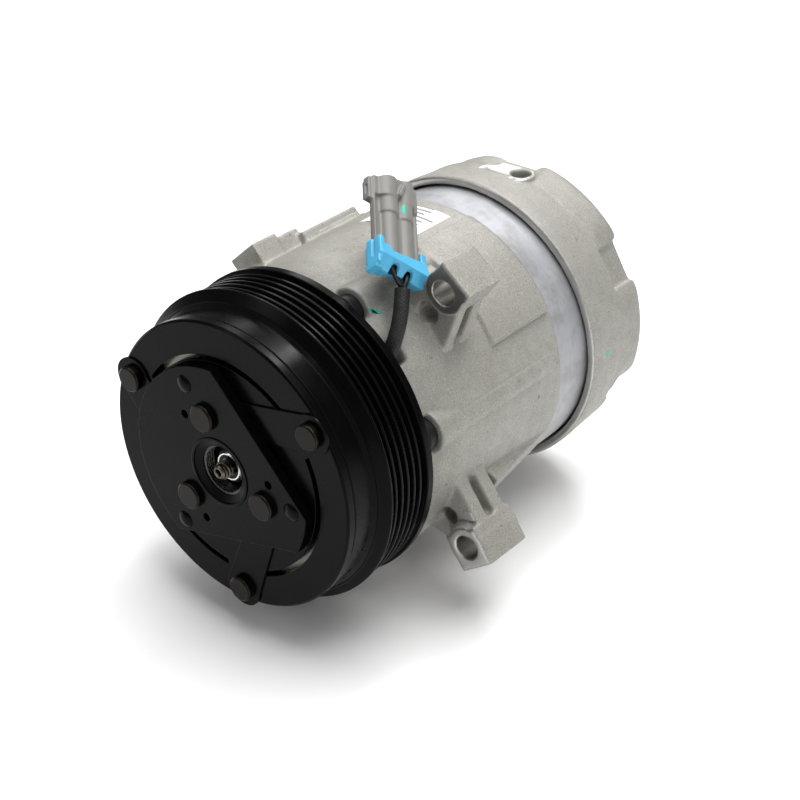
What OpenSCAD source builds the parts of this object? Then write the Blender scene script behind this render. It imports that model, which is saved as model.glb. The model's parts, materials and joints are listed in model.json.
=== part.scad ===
// Automotive air-conditioning compressor: a five-cylinder wobble-plate pump
// with an electromagnetic clutch and a six-groove belt pulley.
// The drive shaft lies along Y. The clutch faces -Y and the rear head faces +Y.
// The origin is on the shaft axis, in the front face of the armature plate.
// Angles named _at turn clockwise from the top (+Z), seen from the clutch side.

/* [Clutch front] */
// Radius of the armature plate
armature_r = 60.1; // [58:0.1:60.5]
// Thickness of the armature plate
armature_t = 3.8; // [3:0.1:3.8]
// Air gap between the armature and the rotor face
air_gap = 0.45; // [0.3:0.05:0.8]
// Radius of the hub drive plate
hub_plate_r = 43.6; // [41:0.1:44]
// Distance of the two flats of the drive plate from the axis
hub_flat = 29; // [27:0.5:34]
// Thickness of the drive plate
hub_plate_t = 4; // [3:0.1:4.5]
// Thickness of one leaf spring
leaf_t = 0.8; // [0.5:0.1:1]
// Half width of one leaf spring
leaf_half_w = 8; // [6:0.1:8.2]
// Radius of the puller thread in the hub
puller_r = 10.2; // [9.5:0.1:10.8]
// Radius of the armature rivet circle
outer_rivet_pcr = 53.6; // [52:0.1:54]
// Radius of the drive plate rivet circle
inner_rivet_pcr = 23; // [22:0.1:24]
// Radius of the stop rivet circle
stop_rivet_pcr = 36.6; // [35:0.1:38]

/* [Pulley] */
// Outside radius of the pulley flanges
pulley_r = 65.3; // [65:0.1:66]
// Radius over the belt crests
crest_r = 64.3; // [64:0.1:64.8]
// Depth of one belt groove
groove_depth = 2.8; // [2.4:0.1:3]
// Number of belt grooves
grooves = 6; // [4:1:6]
// Pitch of the belt grooves
groove_pitch = 3.56; // [3.5:0.01:3.6]
// Place of the first groove along the shaft
groove_first = 20.9; // [20.5:0.1:21]
// Rear end of the pulley along the shaft
pulley_end = 43.7; // [43:0.1:44.5]
// Outside radius of the pulley bearing
bearing_ro = 27.5; // [27:0.1:28]
// Bore radius of the pulley bearing
bearing_ri = 17.5; // [17:0.1:17.6]

/* [Housing] */
// Radius of the cast housing
body_r = 62; // [61.8:0.1:63]
// Radius of the raised pad on the housing
pad_r = 64; // [63.5:0.1:65]
// Radius of the turned ring at the rear of the housing
ring_r = 61.2; // [61:0.05:61.3]
// Radius of the crank chamber
chamber_r = 50.5; // [50:0.1:51]
// Radius of the through-bolt circle
bolt_pcr = 54.5; // [54:0.1:54.8]
// Angle of the first through bolt
bolt_at = 18.5; // [15:0.5:22]
// Bore radius of the mounting ears
ear_bore_r = 5.2; // [4.2:0.1:5.5]
// Half width of the mounting ears
ear_half_w = 8.6; // [8:0.1:9]

/* [Rear head] */
// Radius of the rear head's collar
collar_r = 65.8; // [65:0.1:66.5]
// Radius of the lobes behind the collar
lobe_r = 64.7; // [64.2:0.1:65]
// Radius of the valleys between the lobes
valley_r = 59.8; // [59:0.1:61]
// Rear face of the head along the shaft
head_end = 190.5; // [188:0.5:192]
// Bore radius of the suction port
suction_r = 9.2; // [8:0.1:10]
// Bore radius of the discharge port
discharge_r = 7; // [6:0.1:8]

/* [Pumping parts] */
// Radius of the cylinder circle
cylinder_pcr = 33; // [32.5:0.1:33]
// Bore radius of one cylinder
cylinder_r = 17; // [16.5:0.1:17]
// Radial clearance of a piston
piston_gap = 0.05; // [0.02:0.01:0.08]
// Greatest tilt of the wobble plate in degrees
tilt_max = 18; // [10:1:18]
// Radius of the drive shaft
shaft_r = 7.5; // [7:0.1:7.5]
// Centre of the wobble plate along the shaft
wobble_y = 90; // [89:0.5:91]
// Outside radius of the wobble plate
wobble_r = 44; // [42:0.5:44]

/* [Hidden] */
$fn = 96;
eps = 0.01;

// Clutch places along the shaft
hub_back = -leaf_t;
hub_front = hub_back - hub_plate_t;
rotor_face = armature_t + air_gap;
rivet_step = 120;
outer_rivet_at = 54;
inner_rivet_at = -16;
stop_rivet_at = -26;
pilot_hole_at = -40.5;
pilot_hole_pcr = 25.7;
rivet_shank_r = 3;
flat_at = [46, 165.3];
hub_boss_r = 14.5;
hub_stem_r = 12;
hub_end = 10.6;
window_ri = 44.3;
window_ro = 46.6;

// Pulley and bearing
drum_r = 59.6;
ridge_r = 61.7;
rim_front = 18.1;
coil_bore_r = 52.3;
rotor_disc_t = 6.2;
rotor_hub_r = 32;
bearing_y0 = 14;
bearing_y1 = 34;
ball_r = 3.1;
ball_pcr = 22.5;
ball_rows = [19, 29];
balls = 12;

// Housing
nose_end = 11.8;
front_wall = 58.5;
block_y0 = 110;
block_y1 = 152;
block_r = 58.6;
housing_end = 158;
ring_y0 = 132.6;
bolt_seat = 52.8;
bolt_r = 3;
bolt_hole_r = 3.3;
bolt_head_r = 6.6;
bolt_boss_r = 9.2;
bolts = [for (i = [0:5]) bolt_at + 60 * i];
seal_r = 12.5;

// Ears: bore centres [x, z] and spans along the shaft
ear_a_at = 38.5;
ear_a_pcr = 82.4;
ear_a_y = [66, 85.5];
ear_b = [68.9, -39.9];
ear_b_dir = 144;
ear_b_y = [60, 84];
ear_reach = 9.4;
ear_c_at = -142;
ear_c_pcr = 80;
ear_c_y = [63.5, 91.5];
lug_at = -43;

// Cylinders: five, the first at the top
cylinders = 5;
cylinder_step = 360 / cylinders;
piston_len = 28;
piston_y0 = wobble_y + 22.3;
rod_ball_r = 4.5;
pocket_r = 6.6;
pocket_pcr = cylinder_pcr + 0.8;
guide_pcr = 45.5;
guide_r = 3;
sleeve_ball_r = 12;
sleeve_half_w = 6;
seat_r = 12.3;
seat_mouth_r = 11.2;

// Rear head
head_y0 = 150.4;
head_step = 174;
head_seat = 156;
lobes = 6;
lobe_at = 29;
port_pad_z = 65;
port_pad_x = [-2.4, 8.4];
port_pad_y = 172.5;
port_face_z = 64.4;
service_port = [9, 173.5];
service_r = 4.2;
suction_port = [-30, 21];
discharge_port = [8, 11];
stud_hole = [-11, 17];
valve_place = [2, -33];
valve_r = 9;

// Coil lead: the sleeve's own route in [x, y, z], then the two wires
lead_r = 3;
wire_r = 1.1;
sleeve_route = [
    [31.5, 47.5, 32.5], [33.5, 47.5, 34.5], [35.5, 47.5, 36.5], [37.1, 47.6, 38.2],
    [38.5, 47.8, 40], [39.6, 48.2, 42], [40.2, 48.8, 43.9], [40.6, 49.4, 45.8],
    [40.8, 50.2, 47.8], [40.7, 51.4, 50], [40.4, 52.8, 52.2], [39.9, 54.3, 54.6],
    [39.2, 55.8, 56.8], [38.3, 57.2, 59], [37.3, 58.8, 61.4], [36.3, 60.3, 63.8]
];
wire_a_route = [
    [36.2, 60.3, 63.2], [35.4, 59.9, 65.8], [34.2, 59.3, 68.4], [33, 59, 70.6],
    [31.7, 59.4, 72.4], [29.5, 62, 74]
];
wire_b_route = [
    [36.4, 60.8, 63], [36.2, 61.8, 64.6], [35.8, 63.2, 66], [34.5, 65, 67.3], [32.1, 67.6, 69]
];

// Connector: its foot and its turn
plug_foot = [29.1, 64.5, 70.4];
plug_turn = [-54.5, 38.3, 65.5];
plug_w = 23.6;
plug_len = 35;
plug_collar = 8.5;
barrel_r = 3.7;
barrel_pitch = 8;
barrel_y = -2;

// ---- helpers -------------------------------------------------------------

// A disc about the shaft axis, from y0 to y1
module disc(y0, y1, r) {
    translate([0, y0, 0])
        rotate([-90, 0, 0])
            cylinder(h = y1 - y0, r = r);
}

// A round tube about the shaft axis
module tube(y0, y1, ro, ri) {
    difference() {
        disc(y0, y1, ro);
        disc(y0 - 1, y1 + 1, ri);
    }
}

// A flat outline in X and Z, drawn out from y0 to y1
module slab(y0, y1) {
    translate([0, y1, 0])
        rotate([90, 0, 0])
            linear_extrude(y1 - y0)
                children();
}

// A turned shape from points [radius, y]
module turned(points) {
    rotate([-90, 0, 0])
        rotate_extrude()
            polygon(points);
}

// Puts a child at an angle and radius about the shaft
module around(angle, r) {
    rotate([0, angle, 0])
        translate([0, 0, r])
            children();
}

// The same in a flat outline
module around_2d(angle, r) {
    rotate(-angle)
        translate([0, r])
            children();
}

// A pin parallel to the shaft at an angle and radius
module pin_at(angle, r, y0, y1, pin_r) {
    around(angle, r)
        disc(y0, y1, pin_r);
}

// A wedge-shaped outline between two angles, out to radius r
module sector_2d(a0, a1, r) {
    polygon([
        [0, 0],
        [r * sin(a0), r * cos(a0)],
        [r * sin((2 * a0 + a1) / 3) * 1.2, r * cos((2 * a0 + a1) / 3) * 1.2],
        [r * sin((a0 + 2 * a1) / 3) * 1.2, r * cos((a0 + 2 * a1) / 3) * 1.2],
        [r * sin(a1), r * cos(a1)]
    ]);
}

// A ring of arc slots with straight bridges between them
module arc_slots(ri, ro, count, first, bridge) {
    difference() {
        circle(r = ro);
        circle(r = ri);
        for (i = [0:count - 1])
            rotate(-(first + i * 360 / count))
                translate([-bridge / 2, 0])
                    square([bridge, ro + 1]);
    }
}

// An open spring ring with its gap at an angle
module open_ring(y0, y1, ro, ri, gap, gap_at) {
    slab(y0, y1)
        difference() {
            circle(r = ro);
            circle(r = ri);
            around_2d(gap_at, (ro + ri) / 2)
                square([gap, ro - ri + 4], center = true);
        }
}

// Unit vector of v
function unit(v) = v / norm(v);

// Travel direction of a route at point i
function heading(p, i) = unit(p[min(i + 1, len(p) - 1)] - p[max(i - 1, 0)]);

// One ring of a swept tube: 8 points about point i of a route
function ring_at(p, i, r) =
    let (t = heading(p, i), a = unit(cross(t, [0.3, 1, 0.1])), b = cross(t, a))
    [for (k = [0:7]) p[i] + r * (cos(k * 45) * a + sin(k * 45) * b)];

// A swept tube of radius r along a route
module swept(p, r) {
    n = len(p);
    points = [for (i = [0:n - 1]) each ring_at(p, i, r)];
    sides = [
        for (i = [0:n - 2], k = [0:7])
            [8 * i + k, 8 * (i + 1) + k, 8 * (i + 1) + (k + 1) % 8, 8 * i + (k + 1) % 8]
    ];
    first_cap = [for (k = [0:7]) k];
    last_cap = [for (k = [7:-1:0]) 8 * (n - 1) + k];
    polyhedron(points, concat(sides, [first_cap, last_cap]), convexity = 4);
}

// ---- clutch --------------------------------------------------------------

module pulley() {
    top = crest_r;
    root = crest_r - groove_depth;
    half_top = 1.3;
    half_root = 0.35;
    rear_rim = groove_first + (grooves - 1) * groove_pitch + half_top + 0.3;
    groove_line = [
        for (i = [grooves - 1:-1:0])
            let (c = groove_first + i * groove_pitch)
            each [
                [top, c + half_top], [root, c + half_root],
                [root, c - half_root], [top, c - half_top]
            ]
    ];
    color("#1b1c1e")
        difference() {
            turned(concat(
                [
                    [bearing_ro - 2, 9], [bearing_ro - 2, bearing_y0],
                    [bearing_ro, bearing_y0], [bearing_ro, bearing_y1 + 2],
                    [rotor_hub_r, bearing_y1 + 2], [rotor_hub_r, rotor_face + rotor_disc_t],
                    [coil_bore_r, rotor_face + rotor_disc_t], [coil_bore_r, pulley_end],
                    [pulley_r - 0.6, pulley_end], [pulley_r, pulley_end - 0.6],
                    [pulley_r, rear_rim], [pulley_r - 0.4, rear_rim - 0.3]
                ],
                groove_line,
                [
                    [pulley_r, rim_front + 1.3], [pulley_r, rim_front + 0.4],
                    [pulley_r - 0.4, rim_front], [ridge_r, rim_front - 2.2],
                    [ridge_r - 0.3, rim_front - 2.6], [ridge_r - 0.8, rim_front - 2.7],
                    [drum_r, rim_front - 4.6], [drum_r, rotor_face + 0.7],
                    [drum_r - 0.7, rotor_face], [rotor_hub_r - 2, rotor_face],
                    [rotor_hub_r - 2, 9]
                ]
            ));
            slab(rotor_face - 1, rotor_face + rotor_disc_t + 1) {
                arc_slots(37.6, 39.8, 4, 0, 7);
                arc_slots(48.8, 50.8, 6, 20, 7);
            }
        }
}

module pulley_bearing_outer() {
    color("#b8bcc0")
        difference() {
            tube(bearing_y0, bearing_y1, bearing_ro, 24.4);
            for (y = ball_rows)
                translate([0, y, 0])
                    rotate([-90, 0, 0])
                        rotate_extrude()
                            translate([ball_pcr, 0])
                                circle(r = ball_r + 0.15);
        }
}

module pulley_bearing_inner() {
    color("#b8bcc0")
        difference() {
            tube(bearing_y0, bearing_y1, 20.6, bearing_ri);
            for (y = ball_rows)
                translate([0, y, 0])
                    rotate([-90, 0, 0])
                        rotate_extrude()
                            translate([ball_pcr, 0])
                                circle(r = ball_r + 0.15);
        }
}

module pulley_bearing_balls() {
    color("#d8dce0")
        for (y = ball_rows, i = [0:balls - 1])
            around(i * 360 / balls, ball_pcr)
                translate([0, y, 0])
                    sphere(r = ball_r);
}

module pulley_bearing_cage() {
    color("#c9a36a")
        difference() {
            tube(bearing_y0 + 2, bearing_y1 - 2, 23.4, 21.6);
            for (y = ball_rows, i = [0:balls - 1])
                around(i * 360 / balls, ball_pcr)
                    translate([0, y, -3])
                        cylinder(h = 6, r = ball_r + 0.05);
        }
}

module pulley_snap_ring() {
    color("#3c3f43")
        open_ring(12.6, 13.8, 20, 16.4, 5, 180);
}

module coil_shell() {
    color("#6c7074")
        turned([
            [33.6, 13], [35.2, 13], [35.2, 36], [48.8, 36], [48.8, 13],
            [50.6, 13], [50.6, 40.5], [46, 40.5], [46, 43.8], [29.2, 43.8],
            [29.2, 40.5], [33.6, 40.5]
        ]);
}

module coil_winding() {
    color("#a5572c")
        tube(14.5, 36, 48.8, 35.2);
}

module coil_snap_ring() {
    color("#3c3f43")
        open_ring(38.8, 40.4, 31.6, 27.6, 6, 180);
}

module armature_plate() {
    edge = 0.8;
    color("#242527")
        difference() {
            turned([
                [30, 0], [armature_r - edge, 0], [armature_r, edge],
                [armature_r, armature_t], [30, armature_t]
            ]);
            slab(-1, armature_t + 1)
                arc_slots(window_ri, window_ro, 3, outer_rivet_at, 15);
            for (i = [0:2])
                pin_at(outer_rivet_at + i * rivet_step, outer_rivet_pcr, -1, armature_t + 1,
                    rivet_shank_r);
        }
}

module armature_rivets() {
    color("#33352f")
        for (i = [0:2])
            around(outer_rivet_at + i * rivet_step, outer_rivet_pcr) {
                turned([
                    [0, hub_back - 2.8], [4.6, hub_back - 2.8], [5.3, hub_back - 2.2],
                    [5.3, hub_back], [0, hub_back]
                ]);
                disc(hub_back, armature_t - 0.6, rivet_shank_r);
            }
}

module leaf_springs() {
    a = outer_rivet_pcr * [sin(outer_rivet_at), cos(outer_rivet_at)];
    b = inner_rivet_pcr * [sin(inner_rivet_at), cos(inner_rivet_at)];
    along = b - a;
    slope = atan2(along[1], along[0]);
    color("#2b2c2e")
        for (i = [0:2])
            slab(-leaf_t, 0)
                rotate(-i * rivet_step)
                    difference() {
                        union() {
                            translate(a)
                                circle(r = leaf_half_w + 0.4);
                            translate(b)
                                circle(r = leaf_half_w - 1);
                            translate(a)
                                rotate(slope)
                                    polygon([
                                        [0, -leaf_half_w], [norm(along), -leaf_half_w + 1.5],
                                        [norm(along), leaf_half_w - 1.5], [0, leaf_half_w]
                                    ]);
                        }
                        translate(a)
                            circle(r = rivet_shank_r);
                        translate(b)
                            circle(r = rivet_shank_r);
                    }
}

module hub_plate() {
    color("#202123")
        slab(hub_front, hub_back)
            difference() {
                circle(r = hub_plate_r);
                for (a = flat_at)
                    around_2d(a, hub_flat + 20)
                        square([120, 40], center = true);
                circle(r = hub_boss_r);
                for (i = [0:2]) {
                    around_2d(inner_rivet_at + i * rivet_step, inner_rivet_pcr)
                        circle(r = rivet_shank_r);
                    around_2d(stop_rivet_at + i * rivet_step, stop_rivet_pcr)
                        circle(r = 2);
                    around_2d(pilot_hole_at + i * rivet_step, pilot_hole_pcr)
                        circle(r = 1.8);
                }
            }
}

module hub_rivets() {
    color("#3a3c34")
        for (i = [0:2])
            around(inner_rivet_at + i * rivet_step, inner_rivet_pcr) {
                turned([
                    [0, hub_front - 2.5], [5, hub_front - 2.5], [5.7, hub_front - 1.9],
                    [5.7, hub_front], [0, hub_front]
                ]);
                disc(hub_front, 0, rivet_shank_r);
                disc(0, 1.4, 4.4);
            }
}

module stop_rivets() {
    dome_r = 6.4;
    color("#2a2a2c")
        for (i = [0:2])
            around(stop_rivet_at + i * rivet_step, stop_rivet_pcr) {
                intersection() {
                    translate([0, hub_front + dome_r - 1.2, 0])
                        sphere(r = dome_r);
                    disc(hub_front - 3, hub_front, 5);
                }
                disc(hub_front, hub_back, 2);
            }
}

module clutch_hub() {
    proud = 0.4;
    thread_end = 3;
    color("#26282a")
        difference() {
            union() {
                disc(hub_front - proud, hub_back, hub_boss_r);
                disc(hub_back - eps, hub_end, hub_stem_r);
            }
            turned([
                [0, hub_front - 2], [hub_boss_r - 1.2, hub_front - 2],
                [hub_boss_r - 1.2, hub_front - proud + 0.8], [puller_r, hub_front + 1.6],
                [puller_r, thread_end], [0, thread_end]
            ]);
            disc(0, hub_end + 1, 6.8);
            translate([-1.5, thread_end, 5])
                cube([3, hub_end, 3.3]);
        }
}

module hub_key() {
    color("#8a8d90")
        translate([-1.5, 3.4, 5.2])
            cube([3, 6.8, 3.1]);
}

module hub_shim() {
    color("#a9adb1")
        tube(hub_end, 11.4, 9.5, 6.9);
}

// ---- coil lead -----------------------------------------------------------

module lead_grommet() {
    color("#161718")
        difference() {
            around(43.5, 0)
                translate([-4.9, 44, 37.5])
                    cube([9.8, 6.6, 9]);
            swept([[27, 47.5, 28], [31, 47.5, 32], [45, 47.5, 46]], lead_r + 0.1);
        }
}

module lead_sleeve() {
    color("#141414")
        swept(sleeve_route, lead_r);
}

module lead_wires() {
    color("#101010") {
        swept(wire_a_route, wire_r);
        swept(wire_b_route, wire_r);
    }
}

// Puts a child in the connector's frame: X across, -Y its front, Z to the mouth
module plug_frame() {
    translate(plug_foot)
        rotate(plug_turn)
            children();
}

module connector_body() {
    collar_z = plug_len - plug_collar;
    color("#a9a8a4")
        plug_frame()
            difference() {
                union() {
                    translate([-plug_w / 2, -1.2, 0])
                        cube([plug_w, 3.4, plug_len]);
                    for (s = [-1, 1]) {
                        translate([s * barrel_pitch / 2, barrel_y, 0])
                            cylinder(h = plug_len - 4, r = barrel_r);
                        translate([s * 6.2, -0.6, collar_z])
                            cylinder(h = plug_collar, r = 6);
                    }
                    translate([-plug_w / 2 - 0.5, -3.6, collar_z])
                        cube([plug_w + 1, 8.2, plug_collar]);
                    translate([2.6, -8.6, collar_z + 1])
                        cube([1.6, 4, 5]);
                }
                translate([-plug_w / 2 + 1.2, -2, collar_z + 3])
                    cube([plug_w - 2.4, 5, plug_collar]);
                for (s = [-1, 1]) {
                    translate([s * barrel_pitch / 2, barrel_y, collar_z + 3])
                        cylinder(h = plug_collar, r = barrel_r - 1);
                    translate([s * barrel_pitch / 2, barrel_y, -1])
                        cylinder(h = plug_len, r = 1.5);
                }
            }
}

module connector_terminals() {
    color("#c8c9cb")
        plug_frame()
            for (s = [-1, 1])
                translate([s * barrel_pitch / 2 - 0.9, barrel_y - 0.4, 8])
                    cube([1.8, 0.8, plug_len - 12]);
}

module connector_lock() {
    wall = 1.3;
    low = -2;
    tall = 8;
    back = 2.2;
    front = -6.1;
    color("#58bfe6")
        plug_frame()
            difference() {
                translate([-plug_w / 2 - wall, front - wall, low])
                    cube([plug_w + 2 * wall, back - front + 2 * wall, tall]);
                translate([-plug_w / 2 - 0.1, front - 0.1, 0])
                    cube([plug_w + 0.2, back - front + 0.2, tall]);
                for (s = [-1, 1])
                    translate([s * barrel_pitch / 2 - 2.6, front - 2, low - 1])
                        cube([5.2, 7.2, 5]);
            }
}

// ---- housing -------------------------------------------------------------

// Mounting ear A: a bar with a flat end, standing out from the housing
module ear_a() {
    around(ear_a_at, 0) {
        translate([0, ear_a_y[0], 0])
            rotate([-90, 0, 0])
                linear_extrude(ear_a_y[1] - ear_a_y[0])
                    mirror([0, 1])
                        union() {
                            translate([-ear_half_w, ear_a_pcr])
                                square([2 * ear_half_w, ear_reach]);
                            translate([0, ear_a_pcr])
                                circle(r = ear_half_w + 0.5);
                        }
        // web with its pocket, and two gussets
        for (y = [ear_a_y[0] + 3, ear_a_y[1] - 6])
            translate([0, y, 0])
                rotate([-90, 0, 0])
                    linear_extrude(6)
                        mirror([0, 1])
                            polygon([
                                [-14, 56], [17, 56], [14.5, 62.5], [ear_half_w - 0.4, ear_a_pcr - 2],
                                [-ear_half_w + 0.4, ear_a_pcr - 2], [-11.5, 62]
                            ]);
        translate([-5, ear_a_y[0] + 4, 56])
            cube([9, 14, ear_a_pcr - 62]);
    }
}

// A straight bar ear that leaves the side of the housing at its own slope
module ear_b() {
    translate([ear_b[0], 0, ear_b[1]])
        rotate([0, ear_b_dir, 0]) {
            translate([0, ear_b_y[0], 0])
                rotate([-90, 0, 0])
                    linear_extrude(ear_b_y[1] - ear_b_y[0])
                        mirror([0, 1])
                            union() {
                                translate([-ear_half_w, -7])
                                    square([2 * ear_half_w, 7 + ear_reach]);
                                circle(r = ear_half_w + 0.5);
                            }
            for (y = [ear_b_y[0] + 4, ear_b_y[0] + 15])
                translate([-ear_half_w + 0.4, y, -30])
                    cube([2 * ear_half_w - 0.8, 6.5, 25]);
            translate([-2, ear_b_y[0] + 5, -30])
                cube([6, 16, 25]);
        }
}

// Gusset between ear B and the underside of the housing
module ear_b_web() {
    slab(ear_b_y[0] + 6, ear_b_y[0] + 13)
        polygon([
            [40, -36], [46, -42.2], [58, -45.5], [70, -34], [60, -17], [50, -20]
        ]);
}

// Ear C on the far lower side, a plain radial ear
module ear_c() {
    around(ear_c_at, 0)
        translate([0, ear_c_y[0], 0])
            rotate([-90, 0, 0])
                linear_extrude(ear_c_y[1] - ear_c_y[0])
                    mirror([0, 1])
                        union() {
                            translate([-ear_half_w, 54])
                                square([2 * ear_half_w, ear_c_pcr - 54 + ear_reach]);
                            polygon([[-18, 52], [18, 52], [10, 70], [-10, 70]]);
                        }
}

module front_housing() {
    color("#b4b5b2")
        difference() {
            union() {
                turned([
                    [8, nose_end], [bearing_ri - 0.8, nose_end], [bearing_ri, nose_end + 0.8],
                    [bearing_ri, bearing_y1 + 0.2], [20.4, bearing_y1 + 0.2], [20.4, 37],
                    [29, 37], [29, 43.9], [44, 43.9], [52, 46.5], [56.2, 50], [59.4, 56],
                    [61.3, 62], [body_r, 67], [body_r, ring_y0 - 1.2], [ring_r, ring_y0],
                    [ring_r, housing_end - 0.6], [ring_r - 0.6, housing_end], [8, housing_end]
                ]);
                for (a = bolts) {
                    pin_at(a, bolt_pcr, bolt_seat, 66, bolt_boss_r);
                    pin_at(a, bolt_pcr + 0.4, 60, ring_y0 - 6, bolt_boss_r - 0.8);
                }
                // raised pad on the upper right of the housing
                intersection() {
                    tube(94, ring_y0 - 1.6, pad_r, 50);
                    slab(80, 140)
                        sector_2d(13, 60, 80);
                }
                ear_a();
                ear_b();
                ear_b_web();
                ear_c();
                // upper lug with two steps
                around(lug_at, 0) {
                    translate([-8, 61, 55])
                        cube([17, 14, 16]);
                    translate([-6, 74, 55])
                        cube([13, 14, 14.4]);
                    translate([4, 86, 55])
                        cube([6, 34, 11.2]);
                }
                // long fin behind ear B
                rotate([0, 114, 0])
                    translate([-3, 0, 0])
                        rotate([0, 0, 90])
                            rotate([90, 0, 0])
                                linear_extrude(9)
                                    polygon([[88, 55], [88, 67.8], [131, 62.2], [131, 55]]);
            }
            // crank chamber and block seat
            disc(front_wall, block_y0 + 1, chamber_r);
            disc(block_y0, housing_end + 1, block_r + 0.2);
            // shaft, seal and bearing seats
            disc(nose_end - 1, front_wall + 1, 9);
            disc(nose_end - 1, 28, seal_r);
            disc(34, front_wall + 1, seal_r);
            tube(15, 16.3, 13.4, 10);
            // grooves outside
            tube(12.5, 13.9, 18, 16.3);
            tube(38.7, 40.5, 30, 27.5);
            tube(154.4, 156.8, 62, 59.6);
            // through bolts
            for (a = bolts) {
                pin_at(a, bolt_pcr, 40, housing_end + 1, bolt_hole_r);
                pin_at(a, bolt_pcr, 40, bolt_seat, bolt_head_r + 1.1);
            }
            // guide pin
            pin_at(180, guide_pcr, 52, front_wall + 1, guide_r);
            // way out for the coil lead
            around(43.5, 0)
                translate([-5, 40, 37])
                    cube([10, 14, 26]);
            // ear bores
            pin_at(ear_a_at, ear_a_pcr, ear_a_y[0] - 1, ear_a_y[1] + 1, ear_bore_r);
            pin_at(ear_a_at, ear_a_pcr - 15.9, ear_a_y[0] - 1, ear_a_y[0] + 20.5, 4.6);
            translate([ear_b[0], 0, ear_b[1]])
                disc(ear_b_y[0] - 1, ear_b_y[1] + 1, ear_bore_r);
            translate([56.8, 0, -32.4])
                disc(ear_b_y[0] - 1, ear_b_y[0] + 14, 4);
            pin_at(ear_c_at, ear_c_pcr, ear_c_y[0] - 1, ear_c_y[1] + 1, ear_bore_r);
        }
}

module through_bolts() {
    color("#1d1e1f")
        for (a = bolts)
            around(a, bolt_pcr)
                difference() {
                    union() {
                        turned([
                            [0, 47.7], [5.6, 47.7], [bolt_head_r, 48.7],
                            [bolt_head_r, bolt_seat], [0, bolt_seat]
                        ]);
                        disc(bolt_seat - eps, 171, bolt_r);
                    }
                    translate([0, 47, 0])
                        rotate([-90, 0, 0])
                            cylinder(h = 3.4, r = 3.2, $fn = 6);
                }
}

module housing_o_ring() {
    color("#1a1a1a")
        translate([0, 155.6, 0])
            rotate([-90, 0, 0])
                rotate_extrude()
                    translate([60.65, 0])
                        circle(r = 1);
}

module label() {
    color("white")
        intersection() {
            tube(103.6, 125.4, body_r + 0.15, body_r);
            slab(100, 130)
                sector_2d(-20, 8, 80);
        }
}

// Outline of the lobed rear of the head
module lobed_outline() {
    difference() {
        circle(r = lobe_r);
        for (i = [0:lobes - 1])
            around_2d(lobe_at + 30 + i * 60, valley_r + 10)
                square([19, 20], center = true);
    }
}

// Outline of the service port's boss at a given radius
module port_pad_2d(r) {
    for (x = port_pad_x)
        translate([x, port_pad_y])
            circle(r = r);
    translate([port_pad_x[0], port_pad_y - r + 0.05])
        square([port_pad_x[1] - port_pad_x[0], 2 * r - 0.1]);
}

module rear_head() {
    color("#b0b0ac")
        difference() {
            union() {
                turned([
                    [0, head_seat], [60, head_seat], [60, head_y0], [collar_r - 0.8, head_y0],
                    [collar_r, head_y0 + 0.8], [collar_r, head_seat], [collar_r - 1.3, head_step - 0.8],
                    [collar_r - 2.1, head_step], [0, head_step]
                ]);
                intersection() {
                    slab(head_step - 1, head_end)
                        lobed_outline();
                    turned([
                        [0, head_step - 2], [lobe_r, head_step - 2], [lobe_r, head_end - 3.5],
                        [lobe_r - 1.6, head_end], [0, head_end]
                    ]);
                }
                // boss for the service port on top, and the casting lump beside it
                translate([0, 0, 40])
                    linear_extrude(port_pad_z - 40)
                        port_pad_2d(7.2);
                translate([-10.6, 171, 40])
                    cylinder(h = port_pad_z + 0.8 - 40, r = 5.2);
                // raised pad for the hose ports, and the control valve's boss
                slab(head_end - 1, head_end + 3.5)
                    union() {
                        translate(suction_port)
                            circle(r = suction_r + 5);
                        translate(discharge_port)
                            circle(r = discharge_r + 5);
                        translate(stud_hole)
                            rotate(-15)
                                square([38, 15], center = true);
                    }
                translate([valve_place[0], 0, valve_place[1]])
                    disc(head_end - 1, head_end + 2, valve_r + 5);
            }
            // collar's mouth over the turned ring, and the slot for the housing's edge
            disc(head_y0 - 1, 153.4, 62.3);
            tube(head_y0 - 1, housing_end + 0.3, 61.7, block_r + 0.1);
            disc(head_y0 - 1, head_seat, block_r + 0.4);
            // discharge chamber, and suction chamber round it
            disc(head_seat - 1, 182, 21);
            tube(head_seat - 1, 178, 47, 26);
            // service port
            translate([0, 0, port_face_z])
                linear_extrude(10)
                    port_pad_2d(5.6);
            translate([service_port[0], service_port[1], 40])
                cylinder(h = 30, r = service_r);
            // hose ports and their stud hole
            translate([suction_port[0], 0, suction_port[1]])
                disc(170, head_end + 5, suction_r);
            translate([discharge_port[0], 0, discharge_port[1]])
                disc(180, head_end + 5, discharge_r);
            translate([stud_hole[0], 0, stud_hole[1]])
                disc(184, head_end + 5, 3.4);
            // control valve
            translate([valve_place[0], 0, valve_place[1]]) {
                disc(166, head_end + 5, valve_r + 0.05);
                tube(187.6, 189, valve_r + 0.9, valve_r - 1);
            }
            // bolt threads
            for (a = bolts)
                pin_at(a, bolt_pcr, head_seat - 1, 172, bolt_r);
        }
}

// ---- shaft and pumping parts ---------------------------------------------

module drive_shaft() {
    color("#c9ccce")
        difference() {
            turned([
                [0, -5.5], [2.2, -5.5], [2.9, -4.8], [2.9, 0.2], [5.6, 0.2], [6.8, 1.4],
                [6.8, 11.4], [shaft_r, 11.4], [shaft_r, 147], [0, 147]
            ]);
            turned([[0, -6], [1.9, -6], [1.5, -5], [1.5, -2.6], [0, -1.8]]);
            translate([-1.5, 3.4, 5.2])
                cube([3, 6.8, 3]);
        }
}

module shaft_seal() {
    color("#2a2320")
        turned([
            [shaft_r + 0.05, 20], [9.2, 18], [seal_r, 17], [seal_r, 26], [9.6, 26],
            [9.6, 22.5], [shaft_r + 0.05, 21.4]
        ]);
}

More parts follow.
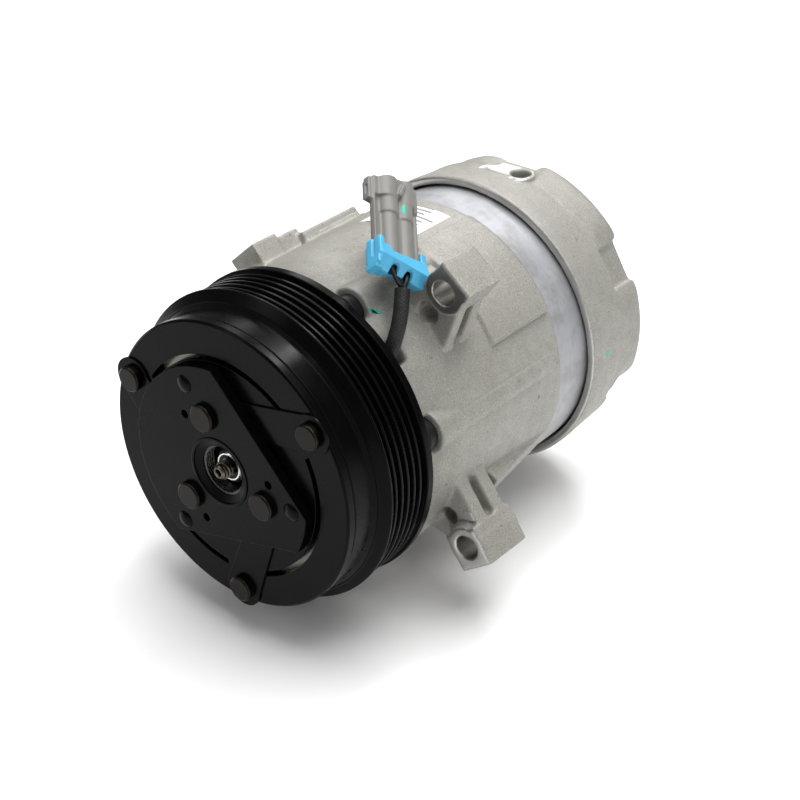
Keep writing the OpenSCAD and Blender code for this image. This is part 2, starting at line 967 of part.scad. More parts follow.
module seal_retaining_ring() {
    color("#3c3f43")
        open_ring(15.05, 16.25, 13.3, 9.8, 4, 0);
}

module front_needle_bearing() {
    color("#b8bcc0") {
        tube(34, 52, seal_r, 10.5);
        for (i = [0:15])
            pin_at(i * 22.5, 9, 35, 51, 1.4);
    }
}

module front_thrust_bearing() {
    color("#b8bcc0") {
        tube(front_wall, front_wall + 1, 21, 9);
        tube(front_wall + 2.9, front_wall + 3.9, 21, 9);
        for (i = [0:19])
            rotate([0, i * 18, 0])
                translate([0, front_wall + 1.95, 11])
                    cylinder(h = 9, r = 0.9);
    }
}

module lug_plate() {
    color("#8d9094")
        difference() {
            union() {
                disc(front_wall + 4, front_wall + 10.5, 28);
                translate([-3, front_wall + 9, 16.3])
                    cube([6, 30.5, 3.7]);
            }
            disc(front_wall, front_wall + 12, shaft_r);
        }
}

module swash_sleeve() {
    edge = asin(sleeve_half_w / sleeve_ball_r);
    color("#c2a14d")
        translate([0, wobble_y, 0])
            turned(concat(
                [[shaft_r, sleeve_half_w], [shaft_r, -sleeve_half_w]],
                [for (i = [-6:6]) sleeve_ball_r * [cos(i * edge / 6), sin(i * edge / 6)]]
            ));
}

module journal() {
    edge = acos(seat_mouth_r / seat_r);
    color("#9a9da0")
        translate([0, wobble_y, 0])
            difference() {
                union() {
                    disc(-7.4, 8, 23.9);
                    disc(-9.3, -7.3, 26);
                }
                turned(concat(
                    [[0, -10], [seat_mouth_r, -10]],
                    [for (i = [-6:6]) seat_r * [cos(i * edge / 6), sin(i * edge / 6)]],
                    [[seat_mouth_r, 9], [0, 9]]
                ));
                tube(5.2, 6.6, 25, 23);
                translate([-6.6, -10, 13.6])
                    cube([13.2, 20, 14]);
            }
}

module wobble_plate() {
    color("#a8abad")
        translate([0, wobble_y, 0])
            difference() {
                union() {
                    disc(-7, 5, wobble_r);
                    translate([-9, -4, -48.5])
                        cube([18, 8, 10]);
                }
                disc(-8, 6, 24.2);
                for (i = [0:cylinders - 1])
                    pin_at(i * cylinder_step, pocket_pcr, -5.5, 6, pocket_r);
                translate([-4, -8, -50])
                    cube([8, 16, 8.5]);
            }
}

module wobble_snap_ring() {
    color("#3c3f43")
        translate([0, wobble_y, 0])
            open_ring(5.3, 6.5, 25.8, 23.05, 17, 0);
}

module guide_pin() {
    color("#c9ccce")
        pin_at(180, guide_pcr, 53, block_y0 + 6, guide_r);
}

module rear_needle_bearing() {
    color("#b8bcc0") {
        tube(118, 136, 12, 10.5);
        for (i = [0:15])
            pin_at(i * 22.5, 9, 119, 135, 1.4);
    }
}

module piston(i) {
    color("#b3a58b")
        around(i * cylinder_step, cylinder_pcr)
            difference() {
                disc(piston_y0, piston_y0 + piston_len, cylinder_r - piston_gap);
                disc(piston_y0 - 1, piston_y0 + 18, 12.5);
                translate([0, piston_y0 + 17.5, 0])
                    sphere(r = 4.3);
                tube(piston_y0 + piston_len - 5, piston_y0 + piston_len - 3, 20, cylinder_r - 1);
            }
}

module rod(i) {
    color("#c9ccce")
        around(i * cylinder_step, cylinder_pcr) {
            translate([0, wobble_y, 0])
                sphere(r = rod_ball_r);
            disc(wobble_y, piston_y0 + 17, 3);
            translate([0, piston_y0 + 17.5, 0])
                sphere(r = 4.2);
        }
}

module cylinder_block() {
    color("#b4b5b2")
        difference() {
            disc(block_y0, block_y1, block_r);
            for (i = [0:cylinders - 1])
                pin_at(i * cylinder_step, cylinder_pcr, block_y0 - 1, block_y1 + 1, cylinder_r);
            disc(block_y0 - 1, block_y1 + 1, 8.5);
            disc(118, 136, 12);
            for (a = bolts)
                pin_at(a, bolt_pcr, block_y0 - 1, block_y1 + 1, bolt_hole_r);
            pin_at(180, guide_pcr, block_y0 - 1, block_y0 + 6, guide_r);
        }
}

// Outline shared by the plates between block and head
module plate_outline() {
    difference() {
        circle(r = block_r);
        for (a = bolts)
            around_2d(a, bolt_pcr)
                circle(r = bolt_hole_r);
    }
}

module suction_reed() {
    color("#8f9498")
        slab(block_y1, block_y1 + 0.4)
            difference() {
                plate_outline();
                circle(r = 5);
                for (i = [0:cylinders - 1]) {
                    around_2d(i * cylinder_step, 40)
                        difference() {
                            circle(r = 5.2);
                            circle(r = 4.2);
                            translate([0, -5])
                                square([5, 8], center = true);
                        }
                    around_2d(i * cylinder_step, 27)
                        circle(r = 3);
                }
            }
}

module valve_plate() {
    color("#8a8e92")
        slab(block_y1 + 0.4, block_y1 + 3.6)
            difference() {
                plate_outline();
                for (i = [0:cylinders - 1]) {
                    around_2d(i * cylinder_step, 40)
                        circle(r = 3.2);
                    around_2d(i * cylinder_step, 20)
                        circle(r = 2);
                }
            }
}

module discharge_reed() {
    color("#8f9498")
        slab(block_y1 + 3.6, block_y1 + 4)
            union() {
                circle(r = 10);
                for (i = [0:cylinders - 1])
                    rotate(-i * cylinder_step)
                        translate([-2.4, 5])
                            square([4.8, 15.5]);
            }
}

module head_gasket() {
    color("#2b2d2e")
        slab(block_y1 + 3.6, block_y1 + 4)
            difference() {
                plate_outline();
                circle(r = 49.5);
            }
}

// ---- displacement control valve ------------------------------------------

module control_valve() {
    color("#b08d57")
        translate([valve_place[0], 0, valve_place[1]])
            difference() {
                disc(167, 187.4, valve_r);
                disc(165, 183, 3.1);
                tube(172, 175, valve_r + 1, valve_r - 1.2);
                tube(180, 183, valve_r + 1, valve_r - 1.2);
            }
}

module valve_plunger() {
    color("#c9ccce")
        translate([valve_place[0], 0, valve_place[1]])
            disc(168.5, 180.8, 3.05);
}

module valve_snap_ring() {
    color("#3c3f43")
        translate([valve_place[0], 0, valve_place[1]])
            open_ring(187.7, 188.9, valve_r + 0.8, valve_r - 2.6, 4, 180);
}

front_housing();
through_bolts();
rear_head();
housing_o_ring();
label();
pulley();
pulley_bearing_outer();
pulley_bearing_inner();
pulley_bearing_balls();
pulley_bearing_cage();
pulley_snap_ring();
coil_shell();
coil_winding();
coil_snap_ring();
armature_plate();
armature_rivets();
leaf_springs();
hub_plate();
hub_rivets();
stop_rivets();
clutch_hub();
hub_key();
hub_shim();
lead_grommet();
lead_sleeve();
lead_wires();
connector_body();
connector_terminals();
connector_lock();
drive_shaft();
shaft_seal();
seal_retaining_ring();
front_needle_bearing();
front_thrust_bearing();
lug_plate();
swash_sleeve();
journal();
wobble_plate();
wobble_snap_ring();
guide_pin();
rear_needle_bearing();
piston(0);  // piston_1
piston(1);  // piston_2
piston(2);  // piston_3
piston(3);  // piston_4
piston(4);  // piston_5
rod(0);  // rod_1
rod(1);  // rod_2
rod(2);  // rod_3
rod(3);  // rod_4
rod(4);  // rod_5
cylinder_block();
suction_reed();
valve_plate();
discharge_reed();
head_gasket();
control_valve();
valve_plunger();
valve_snap_ring();
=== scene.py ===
import json
import math

import bmesh
import bpy
import numpy as np
from mathutils import Euler, Matrix, Vector, noise
from mathutils.bvhtree import BVHTree


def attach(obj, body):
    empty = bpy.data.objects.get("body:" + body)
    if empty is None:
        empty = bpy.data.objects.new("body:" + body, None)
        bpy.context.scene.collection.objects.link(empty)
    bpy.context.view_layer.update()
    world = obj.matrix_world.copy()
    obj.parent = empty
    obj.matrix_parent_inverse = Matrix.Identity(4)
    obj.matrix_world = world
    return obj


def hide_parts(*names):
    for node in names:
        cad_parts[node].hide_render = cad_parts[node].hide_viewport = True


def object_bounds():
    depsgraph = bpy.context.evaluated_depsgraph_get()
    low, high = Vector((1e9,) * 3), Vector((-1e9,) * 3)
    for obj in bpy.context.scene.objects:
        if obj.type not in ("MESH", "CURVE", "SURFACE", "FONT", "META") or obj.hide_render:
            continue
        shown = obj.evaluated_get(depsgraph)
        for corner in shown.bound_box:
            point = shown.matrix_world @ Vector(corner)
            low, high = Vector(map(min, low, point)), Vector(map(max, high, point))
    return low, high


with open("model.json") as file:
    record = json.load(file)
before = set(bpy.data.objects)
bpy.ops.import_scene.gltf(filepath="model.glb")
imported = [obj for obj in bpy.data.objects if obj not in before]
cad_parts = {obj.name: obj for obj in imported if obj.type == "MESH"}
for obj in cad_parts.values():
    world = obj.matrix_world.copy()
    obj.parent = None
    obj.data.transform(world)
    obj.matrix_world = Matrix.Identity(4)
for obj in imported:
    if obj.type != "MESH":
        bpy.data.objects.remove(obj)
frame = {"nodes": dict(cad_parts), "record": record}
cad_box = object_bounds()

MM = 0.001
NODES = frame["nodes"]

# Places shared with the CAD model, in millimetres. An ear's place is its bore's X and Z.
NOSE_R = 30.0
NOSE_END_Y = 40.0
BODY_R = 62.0
BODY_START_Y = 68.0
PAD_R = 64.0
PAD_START_Y = 94.8
RING_R = 61.2
RING_Y = (132.8, 157.4)
EAR_A = (51.3, 64.5)
EAR_B = (68.9, -39.9)
EAR_C = (-49.25, -63.04)
EARS = (EAR_A, EAR_B, EAR_C)
EAR_BORE_R = 5.2
EAR_BORE_Y = (50.0, 100.0)
HEAD_Y = 150.4
HEAD_R = 63.4
COLLAR_R = 65.95
COLLAR_Y = (156.0, 173.2)
COLLAR_DRAFT = 0.0756
LOBE_R = 64.7
LOBE_Y = 174.0
PORT_Y = 172.5
PORT_FACE_Z = 64.4
PLUG_FOOT = (29.1, 64.5, 70.4)
PLUG_TURN = (-54.5, 38.3, 65.5)
PLUG_W = 23.6
PLUG_LEN = 35.0
COLLAR_H = 8.5
BARREL_R = 3.7
BARREL_X = 4.0
BARREL_Y = -2.0
LEAD_R = 3.0
WIRE_R = 1.1
CAST_VOXEL = 0.55
SLEEVE_ROUTE = [
    (31.5, 47.5, 32.5), (33.5, 47.5, 34.5), (35.5, 47.5, 36.5), (37.1, 47.6, 38.2),
    (38.5, 47.8, 40), (39.6, 48.2, 42), (40.2, 48.8, 43.9), (40.6, 49.4, 45.8),
    (40.8, 50.2, 47.8), (40.7, 51.4, 50), (40.4, 52.8, 52.2), (39.9, 54.3, 54.6),
    (39.2, 55.8, 56.8), (38.3, 57.2, 59), (37.3, 58.8, 61.4), (36.3, 60.3, 63.8),
]
WIRE_A_ROUTE = [
    (36.2, 60.3, 63.2), (35.4, 59.9, 65.8), (34.2, 59.3, 68.4), (33, 59, 70.6),
    (31.7, 59.4, 72.4), (29.5, 62, 74),
]
WIRE_B_ROUTE = [
    (36.4, 60.8, 63), (36.2, 61.8, 64.6), (35.8, 63.2, 66), (34.5, 65, 67.3), (32.1, 67.6, 69),
]


# ---- camera, light and floor ----------------------------------------------

def add_camera():
    data = bpy.data.cameras.new("camera")
    data.lens = 81
    data.sensor_width = 36
    data.clip_end = 20
    cam = bpy.data.objects.new("camera", data)
    bpy.context.scene.collection.objects.link(cam)
    place = Vector((0.41282, -0.40401, 0.37361))
    target = Vector((0.033672, 0.0621, 0.013592))
    cam.location = place
    cam.rotation_euler = (target - place).to_track_quat("-Z", "Y").to_euler()
    bpy.context.scene.camera = cam


def add_area(name, at, look, size, power):
    data = bpy.data.lights.new(name, "AREA")
    data.energy = power
    data.shape = "RECTANGLE"
    data.size, data.size_y = size
    lamp = bpy.data.objects.new(name, data)
    bpy.context.scene.collection.objects.link(lamp)
    lamp.location = at
    lamp.rotation_euler = (Vector(look) - Vector(at)).to_track_quat("-Z", "Y").to_euler()


def add_studio():
    add_area("top", (0.1, 0.25, 1.3), (0.02, 0.08, 0), (1.5, 1.3), 30)
    add_area("back_strip", (-0.01, 0.88, 1.12), (0.02, 0.02, 0.04), (0.17, 0.3), 3.4)
    add_area("back_left", (-0.75, 1.15, 0.8), (0, 0.17, 0.06), (0.5, 0.5), 3.5)
    add_area("side_strip", (0.95, -0.25, 0.5), (0.04, 0.04, 0), (0.25, 0.9), 2.4)
    add_area("front_left", (-0.75, -0.95, 0.9), (0, 0, 0), (0.5, 0.4), 2.0)
    world = bpy.data.worlds.new("studio")
    bpy.context.scene.world = world
    world.use_nodes = True
    background = world.node_tree.nodes["Background"]
    background.inputs["Color"].default_value = (1, 1, 1, 1)
    background.inputs["Strength"].default_value = 0.22


add_camera()
add_studio()
bpy.context.scene.view_settings.view_transform = "Standard"


# ---- material helpers ------------------------------------------------------

class Mat:
    """A node tree with short calls for the few node kinds used here."""

    def __init__(self, name):
        self.m = bpy.data.materials.new(name)
        self.m.use_nodes = True
        self.t = self.m.node_tree
        self.bsdf = self.t.nodes["Principled BSDF"]
        self.coord = self.t.nodes.new("ShaderNodeTexCoord").outputs["Object"]

    def node(self, kind, **props):
        n = self.t.nodes.new("ShaderNode" + kind)
        for k, v in props.items():
            setattr(n, k, v)
        return n

    def link(self, a, b):
        self.t.links.new(a, b)

    def feed(self, value, socket):
        """Sets a socket to a number or a colour, or links an output to it."""
        if isinstance(value, (int, float)):
            socket.default_value = value
        elif isinstance(value, tuple):
            socket.default_value = (*value, 1)
        else:
            self.link(value, socket)

    def noise(self, scale, detail=4.0, rough=0.55, vector=None):
        n = self.node("TexNoise")
        n.inputs["Scale"].default_value = scale
        n.inputs["Detail"].default_value = detail
        n.inputs["Roughness"].default_value = rough
        self.link(vector or self.coord, n.inputs["Vector"])
        return n.outputs["Fac"]

    def ramp(self, fac, stops):
        r = self.node("ValToRGB")
        els = r.color_ramp.elements
        while len(els) < len(stops):
            els.new(0.5)
        for e, (position, colour) in zip(els, stops):
            e.position = position
            e.color = (*colour, 1)
        self.link(fac, r.inputs["Fac"])
        return r.outputs["Color"]

    def math(self, op, *values):
        n = self.node("Math", operation=op)
        for value, socket in zip(values, n.inputs):
            self.feed(value, socket)
        return n.outputs["Value"]

    def span(self, fac, lo, hi, a=0.0, b=1.0):
        """Takes lo..hi to a..b, and holds beyond it."""
        n = self.node("MapRange", clamp=True)
        self.link(fac, n.inputs["Value"])
        for k, v in (("From Min", lo), ("From Max", hi), ("To Min", a), ("To Max", b)):
            n.inputs[k].default_value = v
        return n.outputs["Result"]

    def mix(self, fac, a, b):
        """Colour a where fac is 0, colour b where it is 1."""
        n = self.node("Mix", data_type="RGBA")
        for value, number in ((fac, 0), (a, 6), (b, 7)):
            self.feed(value, n.inputs[number])
        return n.outputs[2]

    def axes(self):
        n = self.node("SeparateXYZ")
        self.link(self.coord, n.inputs[0])
        return n.outputs["X"], n.outputs["Y"], n.outputs["Z"]

    def radius(self, x, z):
        """Distance from the shaft axis."""
        square = self.math("ADD", self.math("MULTIPLY", x, x), self.math("MULTIPLY", z, z))
        return self.math("SQRT", square)

    def turned_vector(self):
        """Radius, angle and place along the shaft, for marks left by a lathe."""
        x, y, z = self.axes()
        a = self.math("ARCTAN2", z, x)
        n = self.node("CombineXYZ")
        self.link(self.radius(x, z), n.inputs[0])
        self.link(self.math("MULTIPLY", a, 0.004), n.inputs[1])
        self.link(y, n.inputs[2])
        return n.outputs[0]

    def bevel(self, radius):
        n = self.node("Bevel", samples=6)
        n.inputs["Radius"].default_value = radius
        return n.outputs["Normal"]

    def bump(self, height, depth, strength=1.0, normal=None):
        n = self.node("Bump")
        n.inputs["Strength"].default_value = strength
        n.inputs["Distance"].default_value = depth
        self.link(height, n.inputs["Height"])
        if normal is not None:
            self.link(normal, n.inputs["Normal"])
        return n.outputs["Normal"]

    def edge(self, radius):
        """0 on flat surface to 1 on a sharp edge."""
        geo = self.node("NewGeometry").outputs["Normal"]
        dot = self.node("VectorMath", operation="DOT_PRODUCT")
        self.link(self.bevel(radius), dot.inputs[0])
        self.link(geo, dot.inputs[1])
        return self.span(self.math("SUBTRACT", 1.0, dot.outputs["Value"]), 0.02, 0.25)

    def set(self, **kw):
        """Feeds the shader's sockets, named with _ for a space."""
        for name, value in kw.items():
            self.feed(value, self.bsdf.inputs[name.replace("_", " ")])


# ---- materials -------------------------------------------------------------

def shade(colour, k):
    return tuple(min(1, c * k) for c in colour)


def cast_aluminium(name):
    m = Mat(name)
    big = m.noise(24, 5, 0.6)
    mid = m.noise(190, 4, 0.65)
    grain = m.noise(1700, 3, 0.7)
    specks = m.noise(900, 2, 0.5)
    pits = m.noise(330, 2, 0.5)
    base = m.ramp(big, [(0.3, (0.222, 0.213, 0.184)), (0.7, (0.314, 0.305, 0.276))])
    base = m.mix(m.span(mid, 0.4, 0.75, 0, 0.4), base, (0.145, 0.138, 0.116))
    base = m.mix(m.span(grain, 0.4, 0.66, 0, 0.6), base, (0.43, 0.424, 0.395))
    base = m.mix(m.span(specks, 0.68, 0.75, 0, 0.5), base, (0.56, 0.56, 0.55))
    base = m.mix(m.span(pits, 0.7, 0.78, 0, 0.55), base, (0.07, 0.064, 0.054))
    height = m.math("ADD", m.math("MULTIPLY", grain, 0.7), m.math("MULTIPLY", mid, 0.35))
    m.set(Base_Color=base, Metallic=0.35, Roughness=m.span(mid, 0.3, 0.7, 0.48, 0.62),
          Normal=m.bump(height, 0.0003, 1.0))
    return m.m


def turned_metal(name, colour, rough, lines, metallic=1.0, stained=0.3):
    m = Mat(name)
    v = m.turned_vector()
    fine = m.noise(lines, 3, 0.7, vector=v)
    cloud = m.noise(45, 5, 0.65)
    stain = m.noise(120, 4, 0.6)
    brown = tuple(c * k for c, k in zip(colour, (0.6, 0.58, 0.5)))
    base = m.mix(m.span(cloud, 0.35, 0.7), shade(colour, 0.8), colour)
    base = m.mix(m.span(stain, 0.45, 0.7, 0, stained), base, brown)
    base = m.mix(m.span(fine, 0.4, 0.7, 0, 0.25), base, shade(colour, 1.25))
    m.set(Base_Color=base, Metallic=metallic,
          Roughness=m.span(cloud, 0.3, 0.7, rough - 0.06, rough + 0.1),
          Normal=m.bump(fine, 0.00004, 0.6))
    return m.m


def black_coat(name, base=(0.0011, 0.0011, 0.0012), rough=0.22, wear_and_highlight=0.14, specular=0.062,
               bare=None):
    """Black paint; bare is a band (y below, radius from, radius to) of ground steel, in metres."""
    m = Mat(name)
    cloud = m.noise(60, 5, 0.6)
    orange = m.noise(900, 2, 0.5)
    dust = m.noise(2600, 2, 0.6)
    col = m.mix(m.span(cloud, 0.3, 0.75), base, shade(base, 1.7))
    col = m.mix(m.span(dust, 0.74, 0.8, 0, 0.12), col, (0.04, 0.04, 0.037))
    # edges and groove crests are lightened: partly worn paint, partly a painted highlight
    col = m.mix(m.math("MULTIPLY", m.edge(0.0004), wear_and_highlight), col, (0.06, 0.058, 0.053))
    metallic = 0.0
    if bare:
        x, y, z = m.axes()
        r = m.radius(x, z)
        band = m.math("MULTIPLY", m.math("GREATER_THAN", r, bare[1]),
                      m.math("LESS_THAN", r, bare[2]))
        metallic = m.math("MULTIPLY", m.math("LESS_THAN", y, bare[0]), band)
        col = m.mix(metallic, col, (0.13, 0.125, 0.112))
    m.set(Base_Color=col, Metallic=metallic, Specular_IOR_Level=specular,
          Roughness=m.span(cloud, 0.3, 0.7, rough - 0.05, rough + 0.1),
          Normal=m.bump(orange, 0.00004, 0.3, m.bevel(0.0005)))
    return m.m


def steel(name, colour=(0.56, 0.57, 0.58), rough=0.3, wear_and_highlight=None):
    m = Mat(name)
    n = m.noise(380, 4, 0.6)
    fine = m.noise(3000, 2, 0.6)
    base = m.mix(m.span(n, 0.3, 0.7), shade(colour, 0.75), colour)
    # edges take the given colour: partly wear, partly a painted highlight on rims and crests
    if wear_and_highlight:
        base = m.mix(m.math("MULTIPLY", m.edge(0.0004), 0.7), base, wear_and_highlight)
    m.set(Base_Color=base, Metallic=1.0,
          Roughness=m.span(n, 0.3, 0.7, rough - 0.06, rough + 0.08),
          Normal=m.bump(fine, 0.00002, 0.4, m.bevel(0.0003)))
    return m.m


def plastic(name, colour, rough, edge=0.2, light=None):
    """Moulded plastic, with a painted highlight along its edges; light is that highlight's colour,
    and edge how much they show it.
    """
    m = Mat(name)
    cloud = m.noise(90, 4, 0.6)
    fine = m.noise(1800, 2, 0.6)
    base = m.mix(m.span(cloud, 0.3, 0.7), shade(colour, 0.88), colour)
    edge_highlight = light or tuple(min(1, c * 1.3 + 0.02) for c in colour)
    # painted highlight: the edges are mixed towards the lighter colour
    base = m.mix(m.math("MULTIPLY", m.edge(0.0005), edge), base, edge_highlight)
    m.set(Base_Color=base, Roughness=m.span(cloud, 0.3, 0.7, rough - 0.06, rough + 0.08),
          Normal=m.bump(fine, 0.00003, 0.5, m.bevel(0.0004)))
    return m.m


def label_paper(name):
    """White paper with plain grey bars in rows, each of its own length: no lettering."""
    row_pitch, bar_low, bar_high = 0.0031, 0.24, 0.68
    bar_start, bar_end_from, bar_end_to = -0.0185, -0.001, 0.0078
    m = Mat(name)
    x, y, z = m.axes()
    arc = m.math("MULTIPLY", m.math("ARCTAN2", x, z), BODY_R * MM)
    row = m.math("DIVIDE", y, row_pitch)
    step = m.math("FLOOR", row)
    part = m.math("SUBTRACT", row, step)
    tall = m.math("MULTIPLY", m.math("GREATER_THAN", part, bar_low),
                  m.math("LESS_THAN", part, bar_high))
    ends = m.node("TexWhiteNoise", noise_dimensions="1D")
    m.link(step, ends.inputs["W"])
    stop = m.span(ends.outputs["Value"], 0, 1, bar_end_from, bar_end_to)
    wide = m.math("MULTIPLY", m.math("GREATER_THAN", arc, bar_start),
                  m.math("LESS_THAN", arc, stop))
    ink = m.math("MULTIPLY", m.math("MULTIPLY", tall, wide), 0.88)
    fibre = m.noise(1400, 3, 0.6)
    paper = m.mix(m.span(fibre, 0.3, 0.7), (0.68, 0.68, 0.665), (0.74, 0.74, 0.73))
    m.set(Base_Color=m.mix(ink, paper, (0.09, 0.09, 0.1)),
          Roughness=m.span(fibre, 0.3, 0.7, 0.42, 0.5), Normal=m.bump(fibre, 0.00002, 0.3))
    return m.m


def braid(name):
    m = Mat(name)
    fibre = m.noise(2400, 3, 0.6)
    shade = m.noise(300, 3, 0.6)
    base = m.mix(m.span(shade, 0.3, 0.7), (0.004, 0.004, 0.004), (0.012, 0.012, 0.0115))
    # light specks along the fibres: painted glints on the weave
    base = m.mix(m.span(fibre, 0.6, 0.72, 0, 0.5), base, (0.08, 0.078, 0.072))
    m.set(Base_Color=base, Specular_IOR_Level=0.35,
          Roughness=m.span(fibre, 0.3, 0.7, 0.42, 0.62), Normal=m.bump(fibre, 0.00004, 0.5))
    return m.m


def shaft_end(name):
    """Brown steel at the threaded tip, a dark shoulder round it, and a bright rim."""
    shoulder_from, rim_from = 0.0037, 0.0051
    m = Mat(name)
    x, y, z = m.axes()
    r = m.radius(x, z)
    n = m.noise(520, 4, 0.6)
    base = m.mix(m.span(n, 0.3, 0.7), (0.06, 0.05, 0.042), (0.15, 0.128, 0.11))
    rim = m.mix(m.span(n, 0.3, 0.7), (0.62, 0.65, 0.63), (0.86, 0.89, 0.87))
    base = m.mix(m.math("GREATER_THAN", r, shoulder_from), base, (0.012, 0.011, 0.01))
    base = m.mix(m.math("GREATER_THAN", r, rim_from), base, rim)
    m.set(Base_Color=base, Metallic=1.0, Roughness=m.span(n, 0.3, 0.7, 0.26, 0.4),
          Normal=m.bump(n, 0.00002, 0.4))
    return m.m


M = {
    "cast_alu": cast_aluminium("cast_alu"),
    "turned_alu": turned_metal("turned_alu", (0.4, 0.405, 0.43), 0.5, lines=1500, metallic=0.5,
                               stained=0.75),
    "black_coat": black_coat("black_coat"),
    "black_oxide": black_coat("black_oxide", (0.007, 0.007, 0.0074), 0.4, 0.4, 0.2),
    "zinc_dark": steel("zinc_dark", (0.017, 0.016, 0.0135), 0.38, wear_and_highlight=(0.26, 0.22, 0.15)),
    "steel": steel("steel"),
    "spring_steel": steel("spring_steel", (0.12, 0.12, 0.13), 0.32),
    "bronze": steel("bronze", (0.6, 0.42, 0.18), 0.34),
    "copper": steel("copper", (0.5, 0.2, 0.08), 0.4),
    "rubber": plastic("rubber", (0.012, 0.012, 0.012), 0.6),
    "sleeve": braid("sleeve"),
    "grey_plastic": plastic("grey_plastic", (0.185, 0.182, 0.172), 0.5),
    "blue_plastic": plastic("blue_plastic", (0.075, 0.4, 0.64), 0.36, edge=0.35,
                            light=(0.2, 0.55, 0.76)),
    "wire_black": plastic("wire_black", (0.004, 0.004, 0.004), 0.36),
    "cage_resin": plastic("cage_resin", (0.4, 0.27, 0.12), 0.4),
    "tin": steel("tin", (0.7, 0.7, 0.7), 0.22),
    "label_white": label_paper("label_white"),
    "gasket": plastic("gasket", (0.03, 0.03, 0.032), 0.5),
}
ROTOR_COAT = black_coat("rotor_coat", bare=(0.0046, 0.034, 0.0588))
MACHINED = turned_metal("machined_alu", (0.52, 0.515, 0.495), 0.34, lines=3400)
SHAFT_STEEL = shaft_end("shaft_steel")
# the shim's near-white rim and the puller thread's lighter crests: painted highlights, as well as
# wear
SHIM_STEEL = steel("shim_steel", (0.03, 0.03, 0.03), 0.34, wear_and_highlight=(0.85, 0.88, 0.85))
THREAD_STEEL = steel("thread_steel", (0.07, 0.07, 0.068), 0.26, wear_and_highlight=(0.2, 0.2, 0.19))
PAINT_DAB = plastic("green_paint", (0.012, 0.38, 0.26), 0.35)

for part in frame["record"]["subparts"]:
    obj = NODES[part["node"]]
    obj.data.materials.clear()
    obj.data.materials.append(M[part["material_slot"]])
NODES["pulley"].data.materials[0] = ROTOR_COAT
NODES["drive_shaft"].data.materials[0] = SHAFT_STEEL
NODES["hub_shim"].data.materials[0] = SHIM_STEEL
NODES["stop_rivets"].data.materials[0] = M["black_coat"]


# ---- mesh helpers ----------------------------------------------------------

def new_piece(name, mesh, body, node=None, mats=()):
    """A smooth-shaded piece on a body, in place of a CAD node where one is named."""
    obj = bpy.data.objects.new(name, mesh)
    bpy.context.scene.collection.objects.link(obj)
    mesh.materials.clear()
    for m in mats:
        mesh.materials.append(m)
    mesh.polygons.foreach_set("use_smooth", [True] * len(mesh.polygons))
    if node:
        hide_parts(node)
    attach(obj, body)
    return obj


def mesh_of(bm, name):
    bmesh.ops.recalc_face_normals(bm, faces=bm.faces)
    mesh = bpy.data.meshes.new(name)
    bm.to_mesh(mesh)
    bm.free()
    return mesh


def shaped(mesh, *modifiers):
    """The mesh with modifiers applied, each given as (kind, settings)."""
    work = bpy.data.objects.new("work", mesh)
    bpy.context.scene.collection.objects.link(work)
    for kind, settings in modifiers:
        mod = work.modifiers.new(kind.lower(), kind)
        for key, value in settings.items():
            setattr(mod, key, value)
    bpy.context.view_layer.update()
    shown = work.evaluated_get(bpy.context.evaluated_depsgraph_get())
    done = bpy.data.meshes.new_from_object(shown)
    bpy.data.objects.remove(work)
    return done


def voxels(size):
    return ("REMESH", {"mode": "VOXEL", "voxel_size": size * MM})


def cut_away(mesh, cutter_mesh):
    """The mesh less what the closed cutter covers."""
    cutter = bpy.data.objects.new("cutter", cutter_mesh)
    bpy.context.scene.collection.objects.link(cutter)
    settings = {"operation": "DIFFERENCE", "solver": "EXACT", "object": cutter}
    done = shaped(mesh, ("BOOLEAN", settings))
    bpy.data.objects.remove(cutter)
    return done


def points_of(mesh):
    p = np.empty(len(mesh.vertices) * 3)
    mesh.vertices.foreach_get("co", p)
    return p.reshape(-1, 3) / MM


def put_points(mesh, p):
    mesh.vertices.foreach_set("co", (p * MM).ravel())
    mesh.update()


def smoothed(mesh, weight, passes):
    """Rounds edges off by moving each point towards the middle of its neighbours."""
    p = points_of(mesh)
    n = len(p)
    edges = np.empty(len(mesh.edges) * 2, np.int32)
    mesh.edges.foreach_get("vertices", edges)
    a, b = edges[0::2], edges[1::2]
    degree = np.maximum(np.bincount(a, minlength=n) + np.bincount(b, minlength=n), 1)
    for _ in range(passes):
        middle = np.empty_like(p)
        for k in range(3):
            middle[:, k] = np.bincount(a, p[b, k], n) + np.bincount(b, p[a, k], n)
        p += 0.5 * weight[:, None] * (middle / degree[:, None] - p)
    put_points(mesh, p)


def snap_round(p, centre, radius, y0, y1, reach):
    """Draws points close to a turned surface back on to it."""
    dx, dz = p[:, 0] - centre[0], p[:, 2] - centre[1]
    r = np.hypot(dx, dz)
    near = (abs(r - radius) < reach) & (p[:, 1] > y0) & (p[:, 1] < y1)
    p[near, 0] = centre[0] + dx[near] * radius / r[near]
    p[near, 2] = centre[1] + dz[near] * radius / r[near]


def paint_faces(mesh, rule):
    """Sets each face's material number from its centre and normal, in mm."""
    n = len(mesh.polygons)
    c = np.empty(n * 3)
    v = np.empty(n * 3)
    mesh.polygons.foreach_get("center", c)
    mesh.polygons.foreach_get("normal", v)
    number = rule(c.reshape(-1, 3) / MM, v.reshape(-1, 3)).astype(np.int32)
    mesh.polygons.foreach_set("material_index", number)


